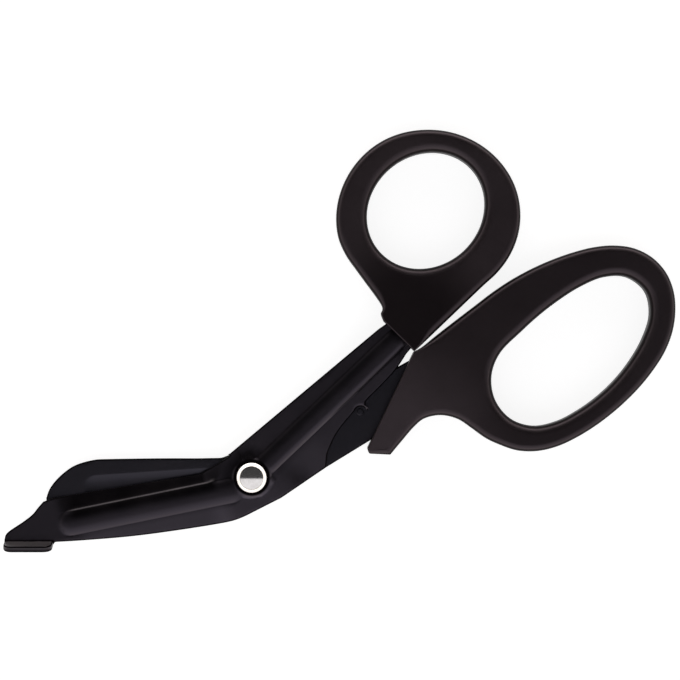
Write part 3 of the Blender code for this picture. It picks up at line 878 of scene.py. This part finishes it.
def makeThumbHandle():
    form = thumbHandleShape
    ring = []
    for index, radius in enumerate(form["ringRadii"]):
        angle = math.radians(form["ringStart"] + form["ringStep"] * index)
        ring.append(Vector(form["ringCentre"]) + radius * Vector((math.cos(angle), math.sin(angle))))
    outline = smoothLine([*form["neckRight"], *ring, *form["neckLeft"]], moulding["outlineSteps"])
    stretch = Matrix(((form["holeLength"] / 2, 0), (0, form["holeWidth"] / 2)))
    turn = Matrix.Rotation(math.radians(form["holeAngle"]), 2)
    hole = [Vector(form["holeCentre"]) + turn @ stretch @ point for point in arc((0, 0), 1, 0, 360, 4)[:-1]]
    collar = Vector(form["neckLeft"][-1]), Vector(form["neckRight"][0])
    return mouldRing("thumbHandle", thinned(outline, moulding["spacing"]), hole, collar)


thumbHandle = makeThumbHandle()
print("thumb handle made", len(thumbHandle.data.polygons))

fingerHandleShape = {
    "centre": (0.0824, 0.0329),
    "opening": (
        (-0.01815, -0.00063), (-0.02044, -0.00653), (-0.01955, -0.01274), (-0.01562, -0.01762),
        (-0.00974, -0.01960), (-0.00359, -0.01842), (0.00203, -0.01551), (0.00717, -0.01179),
        (0.01174, -0.00738), (0.01563, -0.00236), (0.01872, 0.00316), (0.02052, 0.00917),
        (0.01934, 0.01518), (0.01450, 0.01888), (0.00840, 0.01882), (0.00249, 0.01638),
        (-0.00289, 0.01301), (-0.00794, 0.00915), (-0.01266, 0.00489)),
    "rim": (
        (0.06352, 0.00868), (0.06853, 0.00700), (0.07385, 0.00685), (0.07902, 0.00808), (0.08386, 0.01033),
        (0.08843, 0.01311), (0.09272, 0.01630), (0.09674, 0.01983), (0.10045, 0.02368), (0.10378, 0.02787),
        (0.10662, 0.03239), (0.10857, 0.03736), (0.10939, 0.04264), (0.10899, 0.04796), (0.10702, 0.05290),
        (0.10343, 0.05682), (0.09868, 0.05923), (0.09340, 0.05994), (0.08809, 0.05945), (0.08290, 0.05814),
        (0.07783, 0.05636), (0.07290, 0.05420)),
    "crest": (
        (0.0684, 0.05182), (0.0650, 0.04972), (0.0616, 0.04735), (0.0581, 0.04465), (0.0526, 0.04045),
        (0.0474, 0.0364), (0.0441, 0.0337)),
    "collar": ((0.04182, 0.03244), (0.0307, 0.0093), (0.0298, 0.0075), (0.0303, 0.0062), (0.0358, 0.0059)),
    "rest": (
        (0.0387, 0.0094), (0.0419, 0.0131), (0.0447, 0.0153), (0.0489, 0.0161), (0.0532, 0.0151),
        (0.0570, 0.0126), (0.0602, 0.0103)),
}


def makeFingerHandle():
    form = fingerHandleShape
    centre = Vector(form["centre"])
    opening = [centre + Vector(knot) for knot in form["opening"]]
    knots = [form["collar"][-1], *form["rest"], *form["rim"], *form["crest"], form["collar"][0]]
    outline = smoothLine(knots, moulding["outlineSteps"])
    outline += [Vector(point) for point in form["collar"][1:-1]]
    collar = (Vector(form["collar"][0]), Vector(form["collar"][1]))
    hole = smoothLine(opening, moulding["outlineSteps"], True)
    return mouldRing("fingerHandle", thinned(outline, moulding["spacing"]), hole, collar)


fingerHandle = makeFingerHandle()
print("finger handle made", len(fingerHandle.data.polygons))

# Rivet: a turned head, a shank and a peened tail
rivetShape = {
    "seatGap": 0.00015,
    "headRadius": 0.00386,
    "headTop": 0.00810,
    "rimWidth": 0.00088,
    "rimSlope": 40.0,
    "rimRound": 0.00022,
    "discSag": 0.000020,
    "grooveDepth": 0.00004,
    "grooveWidth": 0.00008,
    "discSteps": 8,
    "rimSteps": 5,
    "shankRadius": 0.00225,
    "tailRadius": 0.0034,
    "tailBottom": 0.0003,
    "tailRim": 0.0005,
    "tailSag": 0.00012,
    "tailSteps": 6,
    "turns": 72,
    "smoothAngle": 32.0,
}


def makeRivet():
    form = rivetShape
    seat = frontOuter + sheetSteel["padHeight"] + form["seatGap"]
    tailSeat = 2 * parting - seat
    head, shank, tail = form["headRadius"], form["shankRadius"], form["tailRadius"]
    disc, groove, rimRound = head - form["rimWidth"], form["grooveWidth"], form["rimRound"]
    profile = []
    for index in range(form["discSteps"] + 1):
        share = index / form["discSteps"]
        profile.append((disc * share, form["headTop"] - form["discSag"] * share ** 2))
    edge = form["headTop"] - form["discSag"]
    slope = math.radians(form["rimSlope"])
    coneEnd = head - rimRound * (1 - math.sin(slope))
    coneLevel = edge - (coneEnd - disc - groove) * math.tan(slope)
    profile += [(disc + groove / 2, edge - form["grooveDepth"]), (disc + groove, edge), (coneEnd, coneLevel)]
    for index in range(1, form["rimSteps"] + 1):
        angle = slope + (math.pi / 2 - slope) * index / form["rimSteps"]
        reach = rimRound * (math.sin(angle) - math.sin(slope))
        profile.append((coneEnd + reach, coneLevel - rimRound * (math.cos(slope) - math.cos(angle))))
    profile += [(head, seat), (shank, seat), (shank, tailSeat), (tail, tailSeat)]
    steps, rim, sag = form["tailSteps"], form["tailRim"], form["tailSag"]
    for index in range(steps + 1):
        angle = math.radians(90 * index / steps)
        level = form["tailBottom"] + sag + rim * (1 - math.sin(angle))
        profile.append((tail - rim * (1 - math.cos(angle)), level))
    for index in range(1, steps + 1):
        share = 1 - index / steps
        profile.append(((tail - rim) * share, form["tailBottom"] + sag * share ** 2))
    places = [(pivot.x + reach, pivot.y, level) for reach, level in profile]
    rivet = circleFrom("pivotRivet", places, "NOTHING")
    setMode("EDIT")
    selectEdges(rivet, lambda edge: all(abs(vert.co.x - pivot.x) < 1e-7 for vert in edge.verts))
    bpy.ops.mesh.delete(type="EDGE")
    selectMesh()
    bpy.ops.mesh.spin(
        steps=form["turns"], angle=2 * math.pi, center=(pivot.x, pivot.y, 0), axis=(0, 0, 1))
    selectMesh()
    bpy.ops.mesh.remove_doubles(threshold=0.000004)
    bpy.ops.mesh.normals_make_consistent(inside=False)
    setMode("OBJECT")
    shadeSoft(rivet, form["smoothAngle"])
    return rivet


pivotRivet = makeRivet()
print("rivet made", len(pivotRivet.data.polygons))


def newFinish(name, colour, roughness, metallic=0.0, specular=0.5, tint=(1, 1, 1)):
    finish = bpy.data.materials.new(name)
    finish.use_nodes = True
    shader = finish.node_tree.nodes["Principled BSDF"]
    shader.inputs["Base Color"].default_value = (*colour, 1)
    shader.inputs["Roughness"].default_value = roughness
    shader.inputs["Metallic"].default_value = metallic
    shader.inputs["Specular IOR Level"].default_value = specular
    shader.inputs["Specular Tint"].default_value = (*tint, 1)
    return finish, finish.node_tree, shader


def addNode(tree, kind, settings=None, **sockets):
    node = tree.nodes.new(kind)
    for key, value in (settings or {}).items():
        setattr(node, key, value)
    for key, value in sockets.items():
        node.inputs[key.replace("_", " ")].default_value = value
    return node


# Object coordinates from the rivet, turned along a blade and stretched
def objectPlace(tree, angle=0.0, stretch=(1, 1, 1), centre=(0, 0)):
    place = addNode(tree, "ShaderNodeTexCoord")
    shift = (-pivot.x - centre[0], -pivot.y - centre[1], 0)
    centred = addNode(tree, "ShaderNodeMapping", Location=shift)
    tree.links.new(place.outputs["Object"], centred.inputs["Vector"])
    mapping = addNode(tree, "ShaderNodeMapping", Rotation=(0, 0, math.radians(-angle)), Scale=stretch)
    tree.links.new(centred.outputs["Vector"], mapping.inputs["Vector"])
    return mapping.outputs["Vector"]


# Plan distance from a spot
def farFrom(tree, centre=(0, 0)):
    length = addNode(tree, "ShaderNodeVectorMath", {"operation": "LENGTH"})
    tree.links.new(objectPlace(tree, stretch=(1, 1, 0), centre=centre), length.inputs[0])
    return length.outputs["Value"]


def markOn(tree, name):
    return addNode(tree, "ShaderNodeAttribute", {"attribute_name": name}).outputs["Fac"]


def noiseOn(tree, vector, scale, detail=3.0, roughness=0.55):
    noise = addNode(tree, "ShaderNodeTexNoise", Scale=scale, Detail=detail, Roughness=roughness)
    tree.links.new(vector, noise.inputs["Vector"])
    return noise.outputs["Fac"]


def rangeOf(tree, value, fromLow, fromHigh, toLow, toHigh, smooth=False):
    node = addNode(tree, "ShaderNodeMapRange", {"interpolation_type": "SMOOTHSTEP" if smooth else "LINEAR"})
    for key, number in (("From Min", fromLow), ("From Max", fromHigh), ("To Min", toLow), ("To Max", toHigh)):
        node.inputs[key].default_value = number
    tree.links.new(value, node.inputs["Value"])
    return node.outputs["Result"]


def maths(tree, operation, first, second):
    node = addNode(tree, "ShaderNodeMath", {"operation": operation})
    for socket, value in zip(node.inputs, (first, second)):
        if isinstance(value, (int, float)):
            socket.default_value = value
        else:
            tree.links.new(value, socket)
    return node.outputs["Value"]


def mixColour(tree, share, first, second):
    node = addNode(tree, "ShaderNodeMix", {"data_type": "RGBA"})
    tree.links.new(share, node.inputs["Factor"])
    colours = [socket for socket in node.inputs if socket.type == "RGBA"]
    for socket, value in zip(colours, (first, second)):
        if isinstance(value, tuple):
            socket.default_value = (*value, 1)
        else:
            tree.links.new(value, socket)
    return next(socket for socket in node.outputs if socket.type == "RGBA")


def bumpOn(tree, shader, height, depth, previous=None):
    bump = addNode(tree, "ShaderNodeBump", Strength=1.0, Distance=depth)
    tree.links.new(height, bump.inputs["Height"])
    if previous is not None:
        tree.links.new(previous, bump.inputs["Normal"])
    tree.links.new(bump.outputs["Normal"], shader.inputs["Normal"])
    return bump.outputs["Normal"]


blackSteelLook = {
    "colour": (0.0023, 0.0020, 0.0024),
    "worn": (0.0052, 0.0044, 0.0050),
    "bare": (0.13, 0.12, 0.125),
    "tint": (0.93, 0.82, 1.0),
    "roughness": (0.27, 0.36),
    "specular": 0.60,
    "grainScale": 5200,
    "grainDepth": 0.0000060,
    "patchScale": 95,
    "scratchScale": 900,
    "scratchDepth": 0.0000018,
    "rivetShade": (0.00450, 0.0050, 0.0),
}


# Coated sheet steel: fine grain and drawing scratches, worn patches, bare metal where the wear mark says so,
# which is partly a painted highlight; the shade mark lowers the shine as painted shade
def blackSteel(name, angle, tint=None, rivetShade=False):
    look = blackSteelLook
    finish, tree, shader = newFinish(name, look["colour"], 0.3, 0.0, look["specular"], tint or look["tint"])
    place = objectPlace(tree, angle)
    patches = noiseOn(tree, place, look["patchScale"], 4.0, 0.6)
    grain = noiseOn(tree, place, look["grainScale"], 2.0, 0.5)
    scratches = noiseOn(tree, objectPlace(tree, angle, (0.05, 1.0, 1.0)), look["scratchScale"], 3.0, 0.7)
    coat = mixColour(tree, rangeOf(tree, patches, 0.42, 0.75, 0.0, 1.0), look["colour"], look["worn"])
    bare = maths(tree, "MULTIPLY", markOn(tree, "wearAndHighlight"), rangeOf(tree, scratches, 0.3, 0.6, 0.7, 1.0))
    tree.links.new(mixColour(tree, bare, coat, look["bare"]), shader.inputs["Base Color"])
    mixed = maths(tree, "ADD", patches, maths(tree, "MULTIPLY", scratches, 0.5))
    tree.links.new(rangeOf(tree, mixed, 0.4, 1.1, *look["roughness"]), shader.inputs["Roughness"])
    # The shade mark takes shine away as painted shade; a negative mark adds shine as a painted sheen
    shine = maths(tree, "SUBTRACT", 1.0, markOn(tree, "shade"))
    shine = maths(tree, "MULTIPLY", look["specular"], shine)
    # Painted shadow: a dark ring round the rivet head, where the shine is taken away
    if rivetShade:
        near, far, share = look["rivetShade"]
        shine = maths(tree, "MULTIPLY", shine, rangeOf(tree, farFrom(tree), near, far, share, 1.0, True))
    tree.links.new(shine, shader.inputs["Specular IOR Level"])
    first = bumpOn(tree, shader, grain, look["grainDepth"])
    bumpOn(tree, shader, scratches, look["scratchDepth"], first)
    return finish


blackPlasticLook = {
    "colour": (0.0042, 0.0030, 0.0032),
    "paintedLightColour": (0.0085, 0.0062, 0.0065),
    "tint": (1.0, 0.82, 0.92),
    "roughness": (0.34, 0.46),
    "specular": 0.55,
    "flatTurn": (0.0, 0.35),
    "wallTurn": (0.80, 1.12),
    "wallShare": 0.14,
    "underTurn": (1.95, 2.25),
    "baseTurn": (2.88, 3.20),
    "textureScale": 2600,
    "textureDepth": 0.000011,
    "patchScale": 60,
}


# Moulded plastic; painted light and painted sheen: the base colour and the shine change with the distance from
# a spot
def blackPlastic(name, spot, reach, levels, paintedSheenLevels):
    look = blackPlasticLook
    finish, tree, shader = newFinish(name, look["colour"], 0.4, 0.0, look["specular"], look["tint"])
    place = objectPlace(tree)
    patches = noiseOn(tree, place, look["patchScale"], 4.0, 0.6)
    texture = noiseOn(tree, place, look["textureScale"], 3.0, 0.6)
    paintedLightShare = rangeOf(tree, farFrom(tree, spot), *reach, *levels, True)
    paintedLightMix = maths(tree, "MULTIPLY", rangeOf(tree, patches, 0.3, 0.75, 0.7, 1.2), paintedLightShare)
    tree.links.new(mixColour(tree, paintedLightMix, look["colour"], look["paintedLightColour"]), shader.inputs["Base Color"])
    tree.links.new(rangeOf(tree, patches, 0.3, 0.7, *look["roughness"]), shader.inputs["Roughness"])
    paintedSheenFactor = rangeOf(tree, farFrom(tree, spot), *reach, *paintedSheenLevels, True)
    turn = markOn(tree, "rim")
    flat = rangeOf(tree, turn, *look["flatTurn"], 1.0, 0.0)
    paintedSheenChange = maths(tree, "MULTIPLY", maths(tree, "SUBTRACT", paintedSheenFactor, 1.0), flat)
    # Painted shade: the shine drops to a share on the walls and to nothing on the lower rounding next to them,
    # and returns on the bottom face
    full = look["specular"]
    wall = rangeOf(tree, turn, *look["wallTurn"], full, full * look["wallShare"], True)
    wall = maths(tree, "MULTIPLY", wall, rangeOf(tree, turn, *look["underTurn"], 1.0, 0.0, True))
    wall = maths(tree, "ADD", wall, rangeOf(tree, turn, *look["baseTurn"], 0.0, full, True))
    shine = maths(tree, "MULTIPLY", maths(tree, "ADD", paintedSheenChange, 1.0), wall)
    tree.links.new(shine, shader.inputs["Specular IOR Level"])
    bumpOn(tree, shader, texture, look["textureDepth"])
    return finish


brightSteelLook = {
    "colour": (0.75, 0.73, 0.71),
    "tarnish": (0.66, 0.635, 0.61),
    "roughness": (0.020, 0.035),
    "ringScale": 2600,
    "ringDepth": 0.00000002,
    "patchScale": 420,
}


def brightSteel(name):
    look = brightSteelLook
    finish, tree, shader = newFinish(name, look["colour"], 0.07, 1.0)
    place = objectPlace(tree)
    patches = noiseOn(tree, place, look["patchScale"], 5.0, 0.65)
    tarnish = rangeOf(tree, patches, 0.45, 0.75, 0.0, 1.0)
    tree.links.new(mixColour(tree, tarnish, look["colour"], look["tarnish"]), shader.inputs["Base Color"])
    tree.links.new(rangeOf(tree, patches, 0.3, 0.7, *look["roughness"]), shader.inputs["Roughness"])
    rings = addNode(
        tree, "ShaderNodeTexWave", {"wave_type": "RINGS", "rings_direction": "Z"}, Scale=look["ringScale"],
        Distortion=1.5, Detail=2.0)
    tree.links.new(place, rings.inputs["Vector"])
    bumpOn(tree, shader, rings.outputs["Fac"], look["ringDepth"])
    return finish


frontSteel = blackSteel("blackSteelFront", frontBladeShape["bladeAngle"], None, True)
backSteel = blackSteel("blackSteelBack", backBladeShape["bladeAngle"], (0.86, 0.82, 1.0))
thumbPlastic = blackPlastic("blackPlasticThumb", (0.0400, 0.0420), (0.008, 0.026), (0.0, 1.0), (0.35, 1.0))
fingerPlastic = blackPlastic("blackPlasticFinger", (0.0383, 0.0122), (0.004, 0.030), (1.6, 0.4), (1.7, 0.72))
rivetSteel = brightSteel("brightSteelTurned")

dressing = (
    (frontBlade, "front_half", "front_blade", "black_coated_steel", frontSteel),
    (backBlade, "back_half", "back_blade", "black_coated_steel", backSteel),
    (lockLug, "back_half", "back_blade", "black_coated_steel", backSteel),
    (thumbHandle, "front_half", "thumb_ring_handle", "black_plastic", thumbPlastic),
    (fingerHandle, "back_half", "finger_loop_handle", "black_plastic", fingerPlastic),
    (pivotRivet, "back_half", "pivot_rivet", "bright_steel", rivetSteel))
for piece, body, node, slot, finish in dressing:
    piece.data.materials.clear()
    piece.data.materials.append(finish)
    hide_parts(node)
    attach(piece, body)
print("pieces dressed")

# Table, sky and camera
studio = {
    "floorSize": 6.0,
    "floorWhite": 0.40,
    "floorGlow": 0.86,
    "skyOver": 0.065,
    "skyBack": 0.042,
    "backSpan": (0.06, 0.20),
    "skyFront": 0.84,
    "frontSpan": (-0.12, -0.38),
    "skyLow": 0.45,
    "lowSpan": (-0.55, -0.95),
    "skyRim": 0.95,
    "skyRimBack": 2.50,
    "rimSpan": (0.62, 0.34),
    "rimBackSpan": (0.50, 0.88),
    "skyHorizon": 0.70,
    "horizonSpan": (0.28, 0.20),
    "skyStrip": 1.05,
    "stripSpan": (-0.053, -0.094),
    "skyColour": (0.98, 0.97, 1.0),
    "rimColour": (1.0, 0.945, 0.90),
    "cameraHeight": 0.70,
    "pixelsPerMetre": 3860,
    "frameSide": 680,
    "rivetPixel": (252.0, 477.1),
    "sensor": 36.0,
}


def makeFloor():
    deselectAll()
    bpy.ops.mesh.primitive_plane_add(size=studio["floorSize"], location=(0, 0, -0.00002))
    floor = bpy.context.object
    floor.name = "tableTop"
    bpy.ops.object.transform_apply(location=True)
    finish, tree, shader = newFinish("tableWhite", (studio["floorWhite"],) * 3, 0.9, 0.0, 0.0)
    path = tree.nodes.new("ShaderNodeLightPath")
    seen = maths(tree, "MAXIMUM", path.outputs["Is Camera Ray"], path.outputs["Is Glossy Ray"])
    seen = maths(tree, "MAXIMUM", seen, path.outputs["Is Transmission Ray"])
    glow = maths(tree, "MULTIPLY", seen, studio["floorGlow"])
    shader.inputs["Emission Color"].default_value = (1, 1, 1, 1)
    tree.links.new(glow, shader.inputs["Emission Strength"])
    floor.data.materials.append(finish)


# A light box: dark overhead, a broad light on the near side, a bright rim all round
# and a narrow tube just in front of the camera, which the rivet mirrors
def makeSky():
    world = bpy.data.worlds.new("studioSky")
    bpy.context.scene.world = world
    world.use_nodes = True
    tree = world.node_tree
    background = tree.nodes["Background"]
    direction = tree.nodes.new("ShaderNodeTexCoord")
    split = tree.nodes.new("ShaderNodeSeparateXYZ")
    tree.links.new(direction.outputs["Generated"], split.inputs["Vector"])
    back, up = split.outputs["Y"], split.outputs["Z"]
    over = rangeOf(tree, back, *studio["backSpan"], studio["skyOver"], studio["skyBack"])
    front = rangeOf(tree, back, *studio["frontSpan"], 0.0, studio["skyFront"])
    front = maths(tree, "ADD", front, rangeOf(tree, back, *studio["lowSpan"], 0.0, studio["skyLow"]))
    warmth = rangeOf(tree, up, *studio["rimSpan"], 0.0, 1.0)
    rim = rangeOf(tree, back, *studio["rimBackSpan"], studio["skyRim"], studio["skyRimBack"])
    horizon = rangeOf(tree, up, *studio["horizonSpan"], 0.0, studio["skyHorizon"])
    rim = maths(tree, "ADD", maths(tree, "MULTIPLY", rim, warmth), horizon)
    low, high = studio["stripSpan"]
    strip = maths(tree, "LESS_THAN", back, low)
    strip = maths(tree, "MULTIPLY", strip, maths(tree, "GREATER_THAN", back, high))
    strip = maths(tree, "MULTIPLY", strip, studio["skyStrip"])
    level = maths(tree, "MAXIMUM", maths(tree, "MAXIMUM", front, rim), strip)
    level = maths(tree, "MAXIMUM", level, over)
    tree.links.new(level, background.inputs["Strength"])
    colour = mixColour(tree, warmth, studio["skyColour"], studio["rimColour"])
    tree.links.new(colour, background.inputs["Color"])


def makeCamera():
    scale = studio["pixelsPerMetre"]
    half = studio["frameSide"] / 2
    rivetX, rivetY = studio["rivetPixel"]
    lens = bpy.data.cameras.new("photoCamera")
    camera = bpy.data.objects.new("photoCamera", lens)
    bpy.context.scene.collection.objects.link(camera)
    camera.location = (
        pivot.x + (half - rivetX) / scale, pivot.y + (rivetY - half) / scale, parting + studio["cameraHeight"])
    lens.sensor_width = studio["sensor"]
    lens.lens = studio["sensor"] * studio["cameraHeight"] * scale / studio["frameSide"]
    bpy.context.scene.camera = camera


makeFloor()
makeSky()
makeCamera()
bpy.context.scene.view_settings.view_transform = "Standard"
print("table, sky and camera set")
